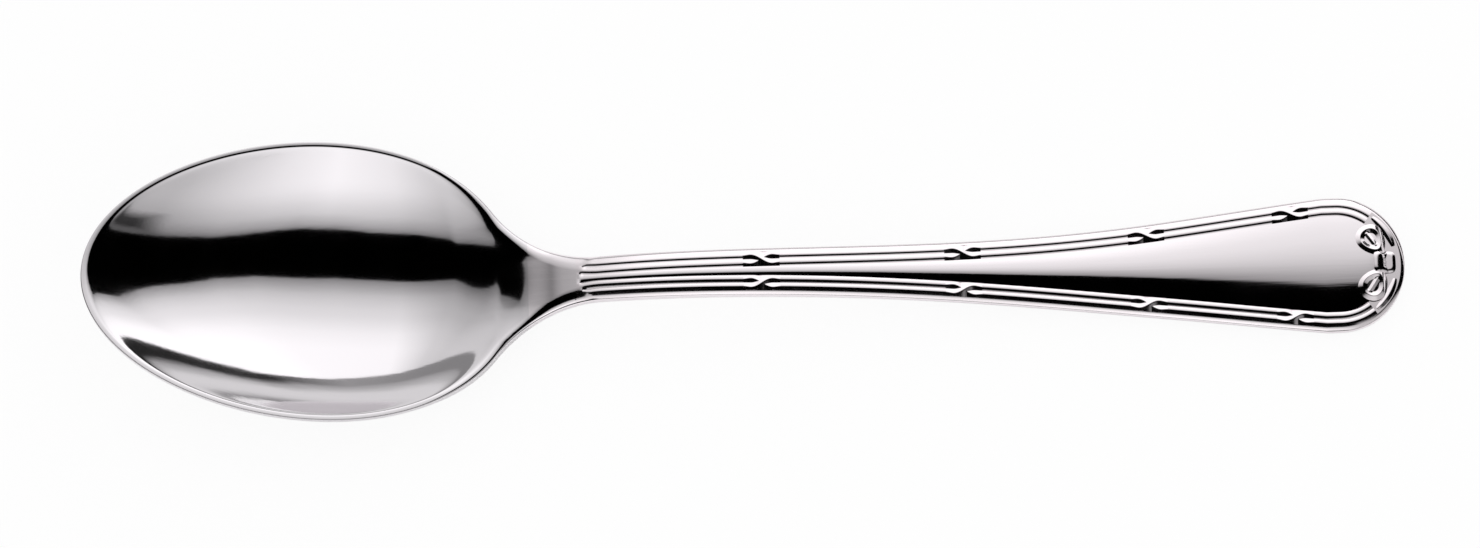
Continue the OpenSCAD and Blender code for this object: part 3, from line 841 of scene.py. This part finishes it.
def make_tails():
    stations = end_arc(*np.radians(TAIL_FROM_TO), 49)
    t = np.clip(np.linspace(0, 1, len(stations)), TAIL_BLUNT_SHARE, 1 - TAIL_BLUNT_SHARE)[:, None]
    spread = TAIL_W*mix(TAIL_POINT_SHARE, 1, np.sqrt(np.sin(math.pi*t)))
    s = (1 - np.cos(np.linspace(0, math.pi, 15)))[None]/2
    offsets = EDGE_W + TAIL_W*TAIL_MIDDLE_SHARE + spread*(s - 0.5)
    rise = TAIL_H*(1 - np.abs(2*s - 1))*np.sin(math.pi*t)**TAIL_LIFT_POWER
    solid = band(stations, offsets, lambda x, o: GROOVE_H - rise)
    make_piece("tails", "bow_tails", RELIEF_STEEL, [solid, mirrored(solid)])


make_bowl()
make_neck()
make_back()
make_panel()
make_edge()
make_reeds("outer_beads", "outer_reeds", EDGE_W, OUTER_REED_W, rim_drop)
make_reeds("inner_beads", "inner_reeds", EDGE_W + OUTER_REED_W, INNER_REED_W, reed_drop)
make_ties()
make_field()
make_knot()
make_loops()
make_tails()


# Camera: the photograph's place, over the spoon and a little towards its near side
FRAME_W = 1480
FRAME_MIDDLE_PX = (740, 274)
ORIGIN_PX = (748.16, 286.91)
PX_PER_MM = 9.375
CAMERA_TILT = math.radians(15.5)
CAMERA_TURN = math.radians(1.854)
CAMERA_DISTANCE = 0.7


def make_camera():
    data = bpy.data.cameras.new("camera")
    camera = bpy.data.objects.new("camera", data)
    bpy.context.collection.objects.link(camera)
    turn = Matrix.Rotation(-CAMERA_TURN, 4, "Z") @ Matrix.Rotation(CAMERA_TILT, 4, "X")
    camera.matrix_world = turn @ Matrix.Translation(Vector((0, 0, CAMERA_DISTANCE)))
    data.sensor_width = 36
    data.lens = data.sensor_width*CAMERA_DISTANCE/(FRAME_W/PX_PER_MM*MM)
    data.shift_x = -(ORIGIN_PX[0] - FRAME_MIDDLE_PX[0])/FRAME_W
    data.shift_y = (ORIGIN_PX[1] - FRAME_MIDDLE_PX[1])/FRAME_W
    data.clip_start = 0.01
    bpy.context.scene.camera = camera


# Studio: a pale floor and a low white canopy with a black gap for the camera
CANOPY_H = 0.2
CANOPY_HALF = 2.6
FLOOR_H = -0.00005
FLOOR_HALF = 3
FLOOR_GREY = 0.93
FLOOR_WHITE_SHARE = 0.9
SMUDGE_PLACE = (0.21, -0.085)
SMUDGE_SPREAD = (28.0, 30.0)


def bare_material(name):
    material = bpy.data.materials.new(name)
    material.use_nodes = True
    tree = material.node_tree
    tree.nodes.clear()
    output = tree.nodes.new("ShaderNodeOutputMaterial")
    return material, tree, output


def math_node(tree, operation, *values):
    n = tree.nodes.new("ShaderNodeMath")
    n.operation = operation
    for i, value in enumerate(values):
        if isinstance(value, (int, float)):
            n.inputs[i].default_value = value
        else:
            tree.links.new(value, n.inputs[i])
    return n.outputs[0]


def make_sheet(name, half, height, corners, material):
    """Square sheet of the studio, with its face on the side that the order of corners gives."""
    mesh = bpy.data.meshes.new(name)
    mesh.from_pydata([(-half, -half, 0), (half, -half, 0), (half, half, 0), (-half, half, 0)],
                     [], [corners])
    mesh.materials.append(material)
    sheet = bpy.data.objects.new(name, mesh)
    sheet.location = (0, 0, height)
    bpy.context.collection.objects.link(sheet)
    return sheet


def light_ramp(tree, value, stops):
    """Grey level that changes with a value: stops are values in rising order and their levels."""
    low = stops[0][0]
    span = stops[-1][0] - low
    share = math_node(tree, "DIVIDE", math_node(tree, "SUBTRACT", value, low), span)
    n = tree.nodes.new("ShaderNodeValToRGB")
    elements = n.color_ramp.elements
    for element, (_, level) in zip(elements, (stops[0], stops[-1])):
        element.color = (level, level, level, 1)
    for place, level in stops[1:-1]:
        elements.new((place - low)/span).color = (level, level, level, 1)
    tree.links.new(share, n.inputs["Fac"])
    return n.outputs["Color"]


def make_canopy():
    material, tree, output = bare_material("canopy_light")
    place = tree.nodes.new("ShaderNodeTexCoord")
    parts = tree.nodes.new("ShaderNodeSeparateXYZ")
    tree.links.new(place.outputs["Object"], parts.inputs["Vector"])
    x = parts.outputs["X"]
    y = parts.outputs["Y"]

    def less(a, b):
        return math_node(tree, "SUBTRACT", a, b)

    def times(a, b):
        return math_node(tree, "MULTIPLY", a, b)

    def most(a, b):
        return math_node(tree, "MAXIMUM", a, b)

    def over_x(places):
        return light_ramp(tree, x, places)

    # The black gap's two edges, and the light that grows from them
    far = less(y, over_x([
        (-0.18, 0.085), (-0.166, 0.08), (-0.159, 0.06), (-0.15, 0.05), (-0.14, 0.034),
        (-0.131, 0.024), (-0.077, 0.019), (-0.03, 0.011), (0.009, 0.007), (0.046, 0.011),
        (0.083, 0.015), (0.12, 0.033), (0.141, 0.052), (0.185, 0.086), (0.211, 0.113),
        (0.245, 0.161)]))
    near = less(times(y, -1.0), over_x([
        (-0.14, 0.052), (-0.131, 0.063), (-0.08, 0.079), (-0.031, 0.086), (0.01, 0.096),
        (0.049, 0.095), (0.086, 0.081), (0.122, 0.063), (0.14, 0.059), (0.178, 0.05)]))
    far_light = times(light_ramp(tree, far, [
        (0, 0), (0.003, 0), (0.008, 0.27), (0.019, 0.378), (0.028, 0.46), (0.044, 0.61),
        (0.06, 0.7), (0.083, 0.79), (0.108, 0.84), (0.137, 0.935), (0.171, 1.03), (0.212, 1.08),
        (0.261, 1.12)]), over_x([
            (-0.158, 0.62), (-0.125, 0.67), (-0.06, 1), (0.08, 1.03), (0.14, 1.1), (0.2, 1.12)]))
    near_light = times(light_ramp(tree, near, [
        (0, 0), (0.002, 0), (0.006, 0.27), (0.015, 0.45), (0.029, 0.6), (0.045, 0.75),
        (0.067, 0.86), (0.09, 0.97), (0.114, 1.06), (0.142, 1.1), (0.26, 1.1), (0.3, 0.03)]),
        over_x([
            (-0.127, 0.65), (-0.062, 0.88), (0.015, 1), (0.081, 0.86), (0.137, 0.68),
            (0.184, 0.5)]))
    # A dark spot in the near light, which the hollow near the tip shows
    smudge = most(*(math_node(tree, "ABSOLUTE", times(less(axis, place), spread))
                    for axis, place, spread in zip((x, y), SMUDGE_PLACE, SMUDGE_SPREAD)))
    near_light = times(near_light, light_ramp(tree, smudge, [(0.3, 0.1), (1.1, 1)]))
    # The light box ends far off in a dark line, and a dim wall stands beyond
    box = less(y, over_x([
        (-0.25, 0.35), (-0.18, 0.42), (-0.09, 0.56), (0.08, 0.72), (0.24, 0.75), (0.31, 0.62),
        (0.35, 0.51), (0.45, 0.3)]))
    start = less(box, over_x([(0.21, 0), (0.35, 0.38)]))
    wall = most(light_ramp(tree, start, [(0, 0), (0.1, 0.03), (0.3, 0.38), (0.8, 0.7), (1, 0.75)]),
                over_x([(-0.2, 0.25), (0.05, 0.33), (0.15, 0.2), (0.24, 0.02)]))
    in_box = light_ramp(tree, box, [(-0.015, 1), (0.005, 0)])
    lit = math_node(tree, "ADD", times(far_light, in_box), times(wall, less(1.0, in_box)))
    total = most(times(lit, math_node(tree, "GREATER_THAN", far, 0.0)), near_light)
    emission = node(tree, "ShaderNodeEmission", Strength=1)
    tree.links.new(total, emission.inputs["Color"])
    tree.links.new(emission.outputs["Emission"], output.inputs["Surface"])
    canopy = make_sheet("canopy", CANOPY_HALF, CANOPY_H, (3, 2, 1, 0), material)
    canopy.visible_camera = False
    canopy.visible_diffuse = False
    canopy.visible_shadow = False
    canopy.visible_transmission = False


def make_floor():
    material, tree, output = bare_material("floor_paper")
    diffuse = node(tree, "ShaderNodeBsdfDiffuse", Color=(FLOOR_GREY, FLOOR_GREY, FLOOR_GREY, 1))
    glow = node(tree, "ShaderNodeEmission", Color=(1, 1, 1, 1))
    path = tree.nodes.new("ShaderNodeLightPath")
    blend = tree.nodes.new("ShaderNodeMixShader")
    share = math_node(tree, "MULTIPLY", path.outputs["Is Camera Ray"], FLOOR_WHITE_SHARE)
    tree.links.new(share, blend.inputs["Fac"])
    tree.links.new(diffuse.outputs["BSDF"], blend.inputs[1])
    tree.links.new(glow.outputs["Emission"], blend.inputs[2])
    tree.links.new(blend.outputs["Shader"], output.inputs["Surface"])
    make_sheet("floor", FLOOR_HALF, FLOOR_H, (0, 1, 2, 3), material)


def make_world():
    """White sky over a dark horizon, which the steep sides of the relief show as dark lines."""
    world = bpy.data.worlds.new("studio")
    bpy.context.scene.world = world
    world.use_nodes = True
    tree = world.node_tree
    place = tree.nodes.new("ShaderNodeTexCoord")
    parts = tree.nodes.new("ShaderNodeSeparateXYZ")
    tree.links.new(place.outputs["Generated"], parts.inputs["Vector"])
    world.cycles.sampling_method = "NONE"
    sky = light_ramp(tree, parts.outputs["Z"], [(0, 0.2), (0.04, 0.7), (0.2, 1)])
    tree.links.new(sky, tree.nodes["Background"].inputs["Color"])


make_camera()
make_canopy()
make_floor()
make_world()
bpy.context.scene.view_settings.view_transform = "Standard"
